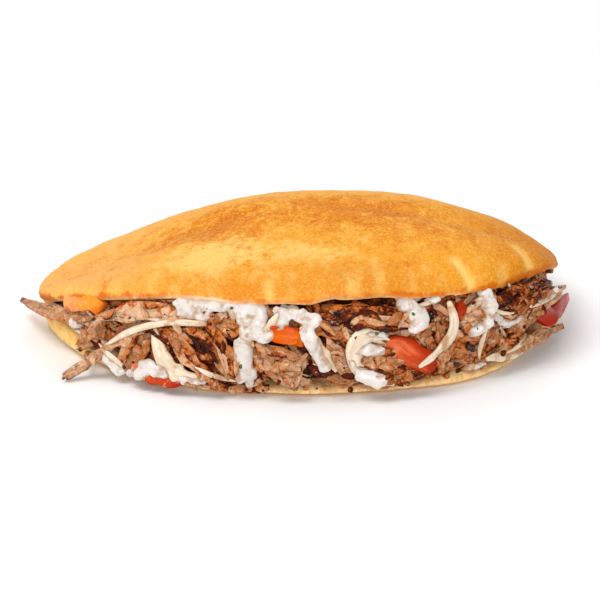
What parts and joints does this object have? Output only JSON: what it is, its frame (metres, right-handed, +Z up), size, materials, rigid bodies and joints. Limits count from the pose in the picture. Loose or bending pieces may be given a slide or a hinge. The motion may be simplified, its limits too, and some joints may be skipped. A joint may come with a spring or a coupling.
{
  "type": "shawarma sandwich",
  "caption": "Round flatbread split along its front, its pocket packed with shaved meat, shredded cabbage, tomato, carrot and white sauce.",
  "frame": {"origin": "on the table under the middle of the sandwich's overall box", "axes": "+X along the bread's long way, from the low left end to the right end; -Y out of the mouth where the filling shows; +Z up"},
  "size_m": [0.209, 0.1656, 0.0453],
  "materials": {
    "bread": "baked flatbread, golden crust mottled with brown, cream where it is cut or pale, dry and soft",
    "filling": "packed shaved meat and shreds in shade, moist",
    "meat": "grilled shaved meat, tan to grey-pink grain with browned and charred edges, moist sheen",
    "tomato": "ripe tomato flesh, wet and glossy",
    "carrot": "raw carrot, bright orange, moist",
    "cabbage": "white cabbage and onion, cream to pale green, moist and slightly see-through at thin edges"
  },
  "bodies": {
    "root": {"bread": "bread", "filling": "filling", "meat_1": "meat", "meat_2": "meat", "meat_3": "meat", "meat_4": "meat", "meat_5": "meat", "meat_6": "meat", "meat_7": "meat", "meat_8": "meat", "meat_9": "meat", "meat_10": "meat", "meat_11": "meat", "meat_12": "meat", "meat_13": "meat", "meat_14": "meat", "meat_15": "meat", "meat_16": "meat", "tomato_1": "tomato", "tomato_2": "tomato", "tomato_3": "tomato", "tomato_4": "tomato", "tomato_5": "tomato", "carrot_1": "carrot", "cabbage_1": "cabbage", "cabbage_2": "cabbage", "cabbage_3": "cabbage", "cabbage_4": "cabbage", "cabbage_5": "cabbage", "cabbage_6": "cabbage", "cabbage_7": "cabbage"}
  },
  "joints": []
}
